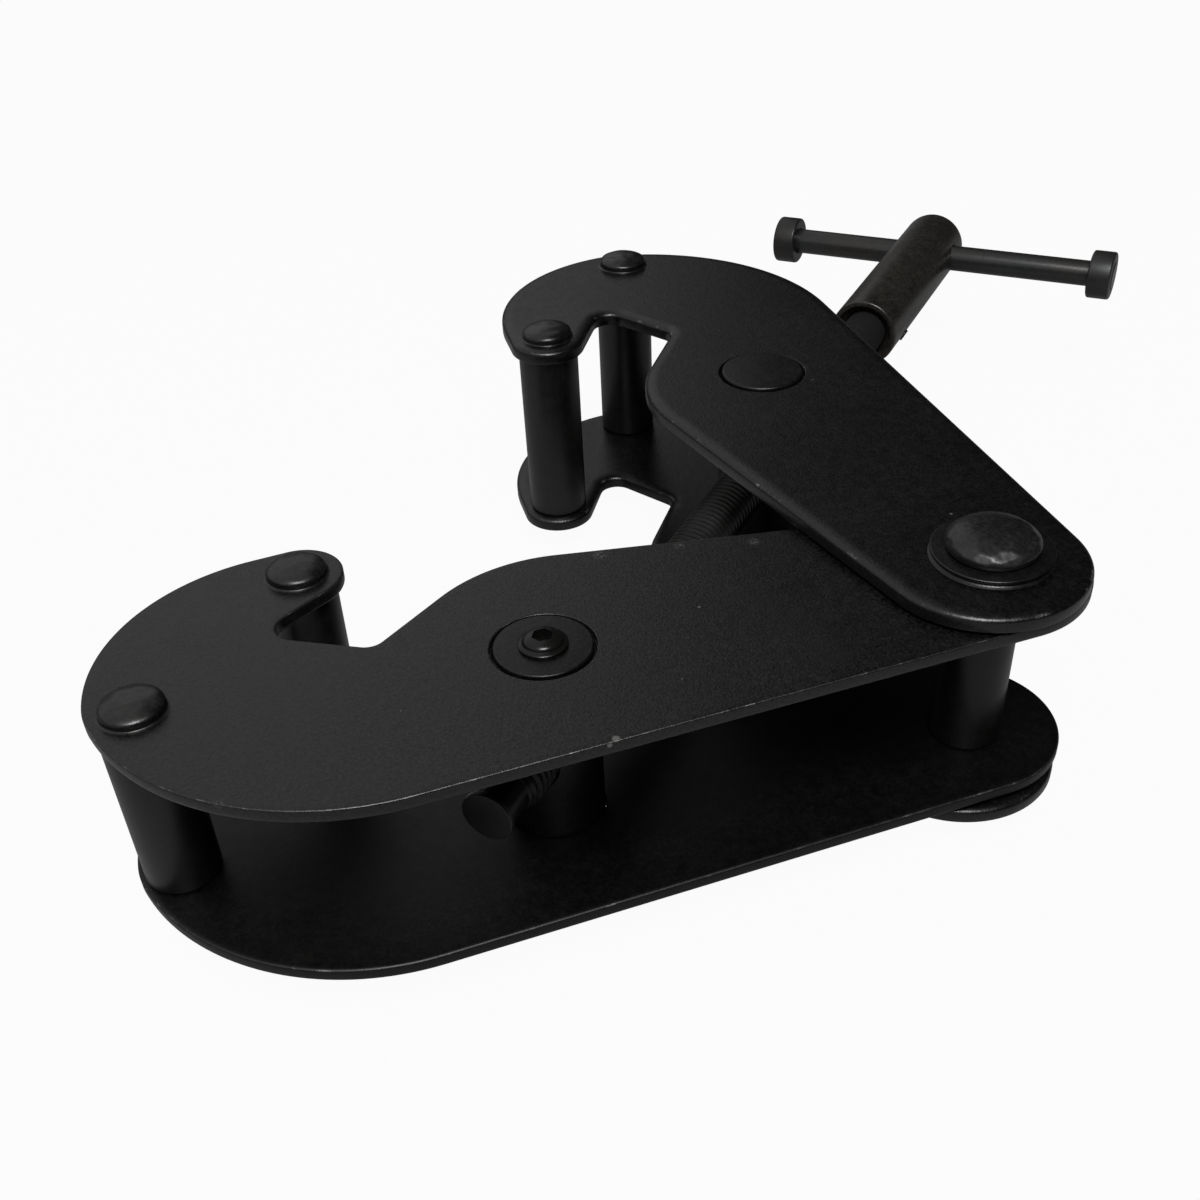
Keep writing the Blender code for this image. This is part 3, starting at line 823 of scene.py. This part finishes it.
def blank_tree(owner, kind):
    """An owner's emptied node tree and its output node."""
    owner.use_nodes = True
    owner.node_tree.nodes.clear()
    return owner.node_tree, owner.node_tree.nodes.new(kind)


def combined(tree, operation, a, b):
    n = tree.nodes.new("ShaderNodeMath")
    n.operation = operation
    for socket, value in zip(n.inputs, (a, b)):
        if isinstance(value, bpy.types.NodeSocket):
            tree.links.new(value, socket)
        else:
            socket.default_value = value
    return n.outputs[0]


def ramp(tree, value, low, high, to_low, to_high, kind="SMOOTHSTEP"):
    n = tree.nodes.new("ShaderNodeMapRange")
    n.interpolation_type = kind
    tree.links.new(value, n.inputs["Value"])
    n.inputs["From Min"].default_value = low
    n.inputs["From Max"].default_value = high
    n.inputs["To Min"].default_value = to_low
    n.inputs["To Max"].default_value = to_high
    return n.outputs["Result"]


def white_share(tree, camera_share, other_share):
    """How much of a surface shows as plain white to the camera, and to glossy and transmitted rays."""
    path = tree.nodes.new("ShaderNodeLightPath")
    total = combined(tree, "MULTIPLY", path.outputs["Is Camera Ray"], camera_share)
    for ray in ("Is Glossy Ray", "Is Transmission Ray"):
        total = combined(tree, "MAXIMUM", total, combined(tree, "MULTIPLY", path.outputs[ray], other_share))
    return total


def blend(tree, share, first, second, out):
    mixer = tree.nodes.new("ShaderNodeMixShader")
    tree.links.new(share, mixer.inputs[0])
    tree.links.new(first.outputs[0], mixer.inputs[1])
    tree.links.new(second.outputs[0], mixer.inputs[2])
    tree.links.new(mixer.outputs[0], out.inputs["Surface"])


bm = bmesh.new()
bmesh.ops.create_grid(bm, x_segments=1, y_segments=1, size=6.0)
floor_mesh = bpy.data.meshes.new("floor")
bm.to_mesh(floor_mesh)
bm.free()
floor = bpy.data.objects.new("floor", floor_mesh)
floor.location = (0.0, 0.0, -0.4 * MM)
scene.collection.objects.link(floor)
floor_material = bpy.data.materials.new("floor")
tree, out = blank_tree(floor_material, "ShaderNodeOutputMaterial")
matte = tree.nodes.new("ShaderNodeBsdfDiffuse")
matte.inputs["Color"].default_value = (0.31, 0.31, 0.31, 1)
glow = tree.nodes.new("ShaderNodeEmission")
glow.inputs["Strength"].default_value = 1.0
blend(tree, white_share(tree, 0.955, 0.04), matte, glow, out)
floor.data.materials.append(floor_material)

# The world is a large pale screen on one side, above the horizon, that fades into a dark room on the other
world = bpy.data.worlds.new("studio")
scene.world = world
tree, out = blank_tree(world, "ShaderNodeOutputWorld")
direction = tree.nodes.new("ShaderNodeTexCoord").outputs["Generated"]
facing = tree.nodes.new("ShaderNodeVectorMath")
facing.operation = "DOT_PRODUCT"
tree.links.new(direction, facing.inputs[0])
SCREEN_TURN = math.radians(20)
facing.inputs[1].default_value = (-math.cos(SCREEN_TURN), math.sin(SCREEN_TURN), 0.0)
height = tree.nodes.new("ShaderNodeSeparateXYZ")
tree.links.new(direction, height.inputs[0])
screen = ramp(tree, facing.outputs["Value"], -0.11, 0.09, 0.012, 0.595)
rising = ramp(tree, height.outputs[2], 0.14, 0.48, 0.03, 1.0)
falling = ramp(tree, height.outputs[2], 0.40, 0.60, 1.22, 0.90, "LINEAR")
level = combined(tree, "MULTIPLY", screen, combined(tree, "MULTIPLY", rising, falling))
lit = tree.nodes.new("ShaderNodeBackground")
tree.links.new(level, lit.inputs["Strength"])
lit.inputs["Color"].default_value = (1, 1, 1, 1)
white = tree.nodes.new("ShaderNodeBackground")
white.inputs["Color"].default_value = (1, 1, 1, 1)
blend(tree, white_share(tree, 0.965, 0.01), lit, white, out)

# Above the object and towards the camera
key = bpy.data.lights.new("key", "AREA")
key.energy = 19.0
key.size = 0.55
key_lamp = bpy.data.objects.new("key", key)
key_lamp.location = (-0.25, -0.75, 1.3)
key_target = Vector((0, 0, 0.03))
key_lamp.rotation_euler = (key_target - key_lamp.location).to_track_quat("-Z", "Y").to_euler()
scene.collection.objects.link(key_lamp)

# The photo's camera, solved from the plates and bores that it shows
camera_data = bpy.data.cameras.new("camera")
camera_data.lens = 42.167
camera_data.sensor_width = 36.0
camera_data.shift_x = -0.00757
camera_data.shift_y = 0.09815
camera_data.clip_start = 0.01
camera_data.clip_end = 50.0
camera = bpy.data.objects.new("camera", camera_data)
camera.matrix_world = Matrix((
    (0.93757, 0.25016, -0.24164, -0.151369),
    (-0.34569, 0.59380, -0.72657, -0.346716),
    (-0.03827, 0.76474, 0.64320, 0.249251),
    (0.0, 0.0, 0.0, 1.0)))
scene.collection.objects.link(camera)
scene.camera = camera
